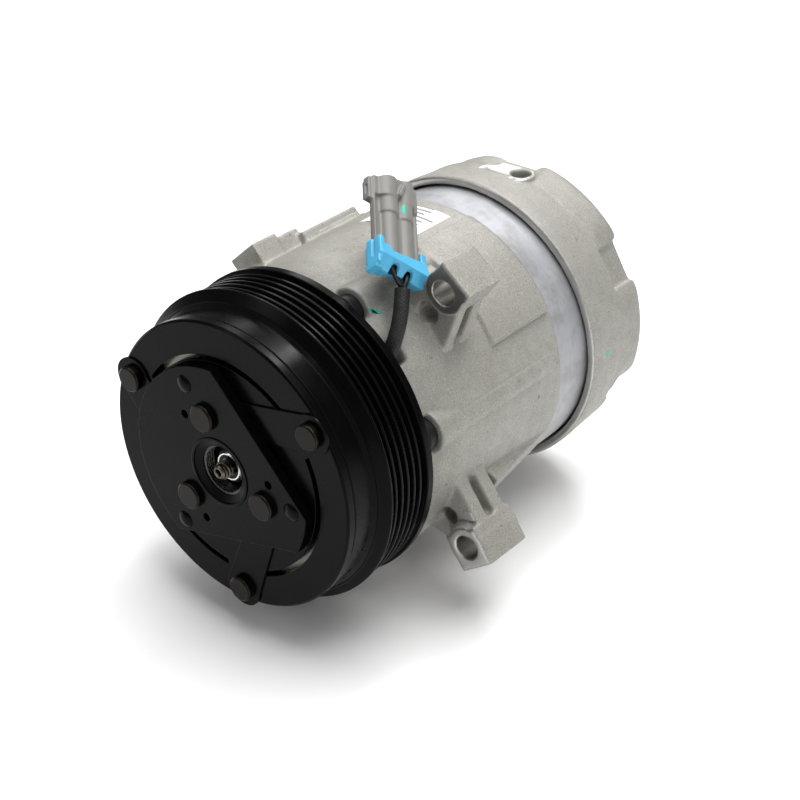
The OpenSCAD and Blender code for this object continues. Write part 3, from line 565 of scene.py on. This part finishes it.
def add_box(bm, x, y, z, turn=None, taper=1.0):
    """A box between the pairs x, y and z; taper narrows its top."""
    made = bmesh.ops.create_cube(bm, size=1)["verts"]
    mid = Vector(((x[0] + x[1]) / 2, (y[0] + y[1]) / 2, (z[0] + z[1]) / 2))
    for v in made:
        shrink = taper if v.co.z > 0 else 1
        v.co = Vector((v.co.x * (x[1] - x[0]) * shrink, v.co.y * (y[1] - y[0]) * shrink,
                       v.co.z * (z[1] - z[0])))
        if turn:
            v.co = turn @ v.co
        v.co += mid


def add_rod(bm, x, y, z, r, sides=40):
    """A round bar between the pair z."""
    made = bmesh.ops.create_cone(bm, cap_ends=True, segments=sides, radius1=r, radius2=r,
                                 depth=z[1] - z[0])["verts"]
    bmesh.ops.translate(bm, verts=made, vec=(x, y, (z[0] + z[1]) / 2))
    return made


def add_strip(bm, low, high):
    """Faces between two rings of points."""
    for k in range(len(low)):
        j = (k + 1) % len(low)
        bm.faces.new((low[k], low[j], high[j], high[k]))


def add_prism(bm, outline, x0, x1, rise=0.0):
    """An outline in Y and Z, drawn out along X; rise lifts its upper edge at the far end."""
    low = [bm.verts.new((x0, y, z)) for y, z in outline]
    high = [bm.verts.new((x1, y, z + (rise if z > -0.5 else 0))) for y, z in outline]
    bm.faces.new(low)
    bm.faces.new(high[::-1])
    for i in range(len(outline)):
        j = (i + 1) % len(outline)
        bm.faces.new((low[i], high[i], high[j], low[j]))


def scaled(mesh):
    """Takes a mesh drawn in millimetres to metres."""
    mesh.transform(Matrix.Scale(MM, 4))
    return mesh


# ---- castings --------------------------------------------------------------

def radius_of(p):
    return np.hypot(p[:, 0], p[:, 2])


def draw_in(p, where, radius):
    """Moves the chosen points to their given radius about the shaft axis."""
    k = (radius / radius_of(p))[where]
    p[where, 0] *= k
    p[where, 2] *= k


def from_axis(p, centre):
    """Distance from an axis along Y through centre."""
    return np.hypot(p[:, 0] - centre[0], p[:, 2] - centre[1])


def cast_copy(node):
    """A casting's CAD shape with an even mesh, ready to be rounded."""
    return shaped(NODES[node].data.copy(), voxels(CAST_VOXEL))


def bore_mask(p):
    """1 away from the ears' machined bores, 0 on them."""
    w = np.ones(len(p))
    for ear in EARS:
        w[from_axis(p, ear) < EAR_BORE_R + 1.1] = 0.12
    return w


def housing():
    mesh = cast_copy("front_housing")
    p = points_of(mesh)
    nose = radius_of(p) < NOSE_R
    w = bore_mask(p)
    w[(p[:, 1] > RING_Y[0] - 1.0) | nose] = 0.15
    smoothed(mesh, w, 9)
    # the ears and ribs run into the body with wider fillets
    p = points_of(mesh)
    r = radius_of(p)
    ears = (r > 60.5) & (r < 68) & (p[:, 1] < 128)
    smoothed(mesh, np.where(ears, bore_mask(p) * 0.55, 0.0), 10)
    p = points_of(mesh)
    snap_round(p, (0, 0), RING_R, *RING_Y, 0.5)
    snap_round(p, (0, 0), BODY_R, BODY_START_Y, RING_Y[0] - 1.8, 0.35)
    snap_round(p, (0, 0), PAD_R, PAD_START_Y, RING_Y[0] - 2.4, 0.3)
    for ear in EARS:
        snap_round(p, ear, EAR_BORE_R, *EAR_BORE_Y, 0.45)
    put_points(mesh, p)
    mesh = shaped(mesh, ("DECIMATE", {"ratio": 0.42}))

    def rule(c, v):
        cast, turned, machined = 0, 1, 2
        number = np.full(len(c), cast)
        rad = radius_of(c)
        number[(c[:, 1] > RING_Y[0] - 0.7) & (rad > 58.9)] = turned
        for ear in EARS:
            near = from_axis(c, ear)
            number[near < EAR_BORE_R + 0.35] = machined
            ear_front = (near < 14) & (rad > 66.5) & (v[:, 1] < -0.93) & (c[:, 1] < BODY_START_Y)
            number[ear_front] = machined
        number[(rad < NOSE_R) & (c[:, 1] < NOSE_END_Y)] = machined
        return number

    mats = (M["cast_alu"], M["turned_alu"], MACHINED)
    piece = new_piece("housing_casting", mesh, "housing", "front_housing", mats)
    paint_faces(mesh, rule)
    return piece


def head():
    mesh = cast_copy("rear_head")
    smoothed(mesh, np.where(points_of(mesh)[:, 1] < 158, 0.25, 1.0), 9)
    p = points_of(mesh)
    x, y, z = p.T
    # the lump beside the service port is low and soft, and the port's face runs out to its edge
    r = radius_of(p)
    skin = np.where(y < COLLAR_Y[1], COLLAR_R - COLLAR_DRAFT * (y - COLLAR_Y[0]), HEAD_R)
    lump = (x < -5.6) & (x > -18) & (y > 163) & (z > 50) & (r > skin)
    draw_in(p, lump, skin + 0.1 * (r - skin))
    rim = (abs(x - 4.5) < 13) & (y > 164.8) & (z > PORT_FACE_Z) & (r > skin)
    z[rim] = PORT_FACE_Z
    # each lobe falls away towards the valleys beside it, and the one left of the port is lower
    r = radius_of(p)
    angle = np.degrees(np.arctan2(x, z))
    turn = (angle + 1) % 60
    from_valley = np.minimum(turn, 60 - turn)
    past = np.clip(1 - (from_valley - 8.4) / 11, 0, 1)
    low_lobe = 2 * (abs(angle + 31) < 27)
    run_in = 3 * (1 - np.clip((y - LOBE_Y) / 4, 0, 1))
    cap = LOBE_R - low_lobe - 2.6 * past ** 2 + run_in
    port_boss = (abs(x - 4) < 14) & (y < 181) & (z > 60)
    draw_in(p, (y > LOBE_Y) & (r > cap) & ~port_boss, cap)
    put_points(mesh, p)
    valley = (y > LOBE_Y + 0.5) & (radius_of(p) > 57)
    smoothed(mesh, np.where(valley, 0.9, 0.0), 26)
    mesh = shaped(mesh, ("DECIMATE", {"ratio": 0.45}))

    def rule(c, v):
        cast, machined = 0, 1
        number = np.full(len(c), cast)
        x, y, z = c.T
        rad = radius_of(c)
        number[(y < HEAD_Y + 0.4) & (rad > 61)] = machined
        number[(y < 175) & (rad < 61)] = machined
        level = (v[:, 2] > 0.96) & (z > 63.9) & (z < 64.6)
        number[level & (abs(y - PORT_Y) < 5.8) & (abs(x - 3) < 11.2)] = machined
        return number

    piece = new_piece("head_casting", mesh, "housing", "rear_head", (M["cast_alu"], MACHINED))
    paint_faces(mesh, rule)
    return piece


# ---- threads ---------------------------------------------------------------

def thread(name, y0, y1, pitch, root, crest, mat, body, steps=72):
    """A helical ridge about the shaft axis, from radius root to radius crest."""
    half_root, half_crest = pitch * 0.42, pitch * 0.08
    run_out = 2.5
    bm = bmesh.new()
    count = int((y1 - y0) / pitch * steps)
    rings = []
    for i in range(count + 1):
        a = 2 * math.pi * i / steps
        y = y0 + pitch * i / steps
        fade = min(1, i / steps * run_out, (count - i) / steps * run_out)
        tip = root + (crest - root) * max(fade, 0.05)
        profile = [(root, y - half_root), (tip, y - half_crest),
                   (tip, y + half_crest), (root, y + half_root)]
        rings.append([bm.verts.new((r * math.sin(a), s, r * math.cos(a))) for r, s in profile])
    for low, high in zip(rings, rings[1:]):
        add_strip(bm, low, high)
    bm.faces.new(rings[0])
    bm.faces.new(rings[-1][::-1])
    piece = new_piece(name, scaled(mesh_of(bm, name)), body, mats=(mat,))
    piece.data.polygons.foreach_set("use_smooth", [False] * len(piece.data.polygons))


# ---- coil lead -------------------------------------------------------------

def smooth_route(route, per):
    """Catmull-Rom points through a route, in millimetres."""
    p = [Vector(q) for q in route]
    p = [p[0] * 2 - p[1]] + p + [p[-1] * 2 - p[-2]]
    out = []
    for a, b, c, d in zip(p, p[1:], p[2:], p[3:]):
        for k in range(per):
            t = k / per
            out.append(0.5 * (2 * b + (c - a) * t + (2 * a - 5 * b + 4 * c - d) * t * t
                              + (3 * b - a - 3 * c + d) * t ** 3))
    return out + [p[-2]]


def tube_mesh(name, route, radius_at, sides):
    """A closed tube along a route; radius_at takes the place along it and the angle."""
    bm = bmesh.new()
    along = 0.0
    side = Vector((0.3, 1, 0.1))
    rings = []
    for i, q in enumerate(route):
        ahead = (route[min(i + 1, len(route) - 1)] - route[max(i - 1, 0)]).normalized()
        side = (side - ahead * side.dot(ahead)).normalized()
        other = ahead.cross(side)
        if i:
            along += (q - route[i - 1]).length
        ring = []
        for k in range(sides):
            a = 2 * math.pi * k / sides
            out = side * math.cos(a) + other * math.sin(a)
            ring.append(bm.verts.new(q + out * radius_at(along, a)))
        rings.append(ring)
    for low, high in zip(rings, rings[1:]):
        add_strip(bm, low, high)
    bm.faces.new(rings[0])
    bm.faces.new(rings[-1][::-1])
    return scaled(mesh_of(bm, name))


def braided(along, angle):
    """Radius of the braid: two sets of strands that cross."""
    strands, lean = 12, 4.6
    one = math.cos(strands * angle + along * lean)
    two = math.cos(strands * angle - along * lean)
    return LEAD_R - 0.16 + 0.13 * max(one, two)


def add_lead():
    """The braided sleeve and its two wires, with the sleeve's path in millimetres."""
    path = smooth_route(SLEEVE_ROUTE, 10)
    tube = tube_mesh("lead_braid", path, braided, 96)
    sleeve = new_piece("lead_braid", tube, "housing", "lead_sleeve", (M["sleeve"],))
    bm = bmesh.new()
    for k, route in enumerate((WIRE_A_ROUTE, WIRE_B_ROUTE)):
        bm.from_mesh(tube_mesh("wire_%d" % k, smooth_route(route, 8), lambda s, a: WIRE_R, 20))
    pair = mesh_of(bm, "lead_pair")
    wires = new_piece("lead_pair", pair, "housing", "lead_wires", (M["wire_black"],))
    return sleeve, wires, path


# ---- connector -------------------------------------------------------------

PLUG_ROTATION = Euler([math.radians(a) for a in PLUG_TURN], "XYZ").to_matrix().to_4x4()
PLUG_PLACE = Matrix.Translation(PLUG_FOOT) @ PLUG_ROTATION
PLUG_PLACE_M = Matrix.Scale(MM, 4) @ PLUG_PLACE @ Matrix.Scale(1 / MM, 4)


def moulded(bm, name, voxel, passes, cutter, slant=0.0):
    """Joins overlapping solids into one rounded moulding; slant makes its right side longer."""
    mesh = shaped(scaled(mesh_of(bm, name)), voxels(voxel))
    mesh = cut_away(mesh, shaped(scaled(mesh_of(cutter, name + "_cut")), voxels(voxel * 0.8)))
    mesh = shaped(mesh, voxels(voxel))
    smoothed(mesh, np.ones(len(mesh.vertices)), passes)
    p = points_of(mesh)
    p[:, 2] += slant * np.clip((p[:, 2] - 24) / 11, 0, 1) * (p[:, 0] / PLUG_W + 0.5)
    put_points(mesh, p)
    mesh.transform(PLUG_PLACE_M)
    return mesh


def connector():
    """The grey plug: a flat case with two round barrels, and a wide mouth at its far end."""
    half = PLUG_W / 2
    collar_z = PLUG_LEN - COLLAR_H
    bm = bmesh.new()
    add_box(bm, (-half + 1.6, half), (-1.2, 2.2), (0, PLUG_LEN))
    add_box(bm, (-half, -half + 3), (-1.2, 0.2), (0, PLUG_LEN))
    add_box(bm, (-half, -half + 1.1), (-2.0, 0.2), (0, PLUG_LEN))
    add_box(bm, (half - 1.0, half), (-1.7, 2.2), (0, PLUG_LEN))
    for s in (-1, 1):
        x = s * BARREL_X
        add_rod(bm, x, BARREL_Y + 0.9, (0, collar_z + 2), BARREL_R)
        add_rod(bm, x, BARREL_Y + 0.9, (19.5, collar_z + 2), BARREL_R + 0.6)
        add_rod(bm, x * 1.15, BARREL_Y + 1.6, (collar_z, PLUG_LEN), 5.2)
    add_box(bm, (-4, 4), (-3.4, 0), (2, collar_z + 2))
    add_box(bm, (-5, 5), (-4.7, 0), (collar_z + 3, PLUG_LEN))
    add_box(bm, (-half + 0.2, half + 0.2), (-2.4, 4.4), (collar_z, PLUG_LEN))
    add_box(bm, (-half - 1.9, -half + 1), (-1.4, 1.8), (collar_z - 2.5, PLUG_LEN - 0.3), taper=0.94)
    add_box(bm, (-0.8, 0.8), (-6.3, -4.0), (collar_z + 0.6, collar_z + 6.6),
            Euler((0, 0.55, 0)).to_matrix())
    cut = bmesh.new()
    add_box(cut, (-half + 1.4, half - 1.2), (-1.4, 3), (collar_z + 3, PLUG_LEN + 1))
    add_box(cut, (-half - 2.6, -half - 1.1), (-0.3, 0.8), (collar_z, collar_z + 4.4))
    wire_holes = bmesh.new()
    for s in (-1, 1):
        add_rod(cut, s * BARREL_X * 1.15, BARREL_Y + 1.6, (collar_z + 3.5, PLUG_LEN + 1), 4.1)
        add_rod(wire_holes, s * BARREL_X, BARREL_Y, (-1, 6), 1.7)
    body = moulded(bm, "plug_moulding", 0.28, 3, cut, 5.0)
    holes = scaled(mesh_of(wire_holes, "wire_holes"))
    holes.transform(PLUG_PLACE_M)
    body = cut_away(body, holes)
    piece = new_piece("plug_moulding", body, "housing", "connector_body", (M["grey_plastic"],))
    return piece


def clip():
    """The blue lock round the connector's foot, ridged in front, with a slit arm on its left."""
    half = PLUG_W / 2
    left = [(-4.2, 1.8), (-5.6, 1.6), (-6.7, -4.2), (-2.6, -9.0),
            (2.2, -8.2), (2.2, -6.8), (-1.8, -7.4), (-5.2, -3.9)]
    right = [(-4.0, 0.2), (-5.3, 0.0), (-6.5, -4.0), (-2.4, -7.8),
             (1.8, -6.0), (1.8, -4.6), (-1.6, -6.2), (-5.0, -3.7)]
    bm = bmesh.new()
    add_prism(bm, left, -half - 0.8, -6.4)
    add_prism(bm, right, -7.4, half + 0.6, 3.0)
    add_box(bm, (half - 2.2, half + 0.8), (-4.9, -3.4), (-1, 7.2))
    add_box(bm, (half - 0.4, half + 0.8), (-4.9, 2.0), (-3.6, 6.2))
    add_box(bm, (-half - 1.0, half + 0.8), (1.4, 2.8), (-5.6, 2.2))
    add_box(bm, (-half - 1.9, -half - 0.5), (-5.4, 1.4), (-8.0, 3.9))
    add_box(bm, (-half - 1.9, -half + 0.8), (-6.3, -4.8), (-4.4, 3.9), taper=0.8)
    add_box(bm, (-half - 1.7, -half + 1.2), (-3.8, 2.4), (-9.2, -7.6))
    cut = bmesh.new()
    quarter_turn = Matrix.Rotation(math.pi / 2, 3, "X")
    for x in (-BARREL_X + 0.2, BARREL_X - 0.7):
        add_box(cut, (x - 2.0, x + 2.0), (-12, 0.6), (-12, -6.6))
        made = add_rod(cut, 0, 0, (-6.3, 6.3), 2.0, 32)
        bmesh.ops.rotate(cut, verts=made, cent=(0, 0, 0), matrix=quarter_turn)
        bmesh.ops.translate(cut, verts=made, vec=(x, -5.7, -6.6))
    add_box(cut, (-half - 2.6, -half - 0.9), (-2.9, -1.7), (-4.4, 5), taper=0.9)
    mesh = moulded(bm, "clip_moulding", 0.25, 5, cut)
    piece = new_piece("clip_moulding", mesh, "housing", "connector_lock", (M["blue_plastic"],))
    return piece


# ---- paint dabs ------------------------------------------------------------

def dab(name, target, at, facing, along, size, seed):
    """A thin dried drop of inspection paint that lies on a piece, longer one way."""
    tree = BVHTree.FromPolygons([v.co for v in target.data.vertices],
                                [p.vertices for p in target.data.polygons])
    above = 6 * MM
    facing = Vector(facing).normalized()
    side = facing.cross(Vector(along)).normalized()
    up = side.cross(facing)
    centre = Vector(at) * MM
    bm = bmesh.new()
    rings, sides = 5, 28
    tops = []
    for j in range(rings + 1):
        row = []
        for k in range(sides):
            a = 2 * math.pi * k / sides
            wobble = 1 + 0.45 * noise.noise(Vector((math.cos(a) * 1.3, math.sin(a) * 1.3, seed)))
            reach = j / rings * wobble * MM
            aside = (side * math.cos(a) * size[0] + up * math.sin(a) * size[1]) * reach
            start = centre + aside + facing * above
            hit = tree.ray_cast(start, -facing, 2 * above)[0]
            if hit is None:
                hit = start - facing * above
            lift = (0.14 * (1 - (j / rings) ** 2) - 0.03) * MM
            row.append(bm.verts.new(hit + facing * lift))
        tops.append(row)
    for low, high in zip(tops, tops[1:]):
        add_strip(bm, low, high)
    bmesh.ops.remove_doubles(bm, verts=bm.verts, dist=1e-7)
    edge = [e for e in bm.edges if e.is_boundary]
    skirt = bmesh.ops.extrude_edge_only(bm, edges=edge)
    sunk = [v for v in skirt["geom"] if isinstance(v, bmesh.types.BMVert)]
    bmesh.ops.translate(bm, verts=sunk, vec=-facing * 0.25 * MM)
    bmesh.ops.contextual_create(bm, geom=sunk)
    new_piece(name, mesh_of(bm, name), "housing", mats=(PAINT_DAB,))


# ---- the pieces ------------------------------------------------------------

casting = housing()
head_piece = head()
sleeve, wires, sleeve_path = add_lead()
plug = connector()
lock = clip()

thread("puller_thread", -2.9, 2.7, 0.95, 10.35, 9.45, THREAD_STEEL, "shaft")
thread("stud_thread", -3.9, 0.0, 1.3, 2.8, 3.6, SHAFT_STEEL, "shaft", 48)

dab("dab_boss", casting, (26.6, 55.6, 53), (0.8, -0.4, 0.45), (5.4, 3.8, -1.7), (0.9, 4.0), 3)
dab("dab_head", head_piece, (65.3, 161.5, 2.3), (1, 0, 0), (0, 0.3, 1), (1.9, 1.7), 8)
dab("dab_plug", plug, (19, 82.6, 83.4), (0.45, -0.25, 0.87), (-0.32, 0.4, 0.86), (1.3, 2.4), 5)


# ---- floor -----------------------------------------------------------------

def add_floor():
    half_width, gap = 6, 0.0005
    bm = bmesh.new()
    bmesh.ops.create_grid(bm, x_segments=1, y_segments=1, size=half_width)
    mesh = mesh_of(bm, "floor")
    floor = bpy.data.objects.new("floor", mesh)
    floor.location = (0, 0, cad_box[0][2] - gap)
    bpy.context.scene.collection.objects.link(floor)
    m = Mat("floor_pale")
    m.set(Base_Color=m.mix(m.noise(3), (0.93, 0.93, 0.93), (0.95, 0.95, 0.95)), Roughness=0.9)
    mesh.materials.append(m.m)


add_floor()
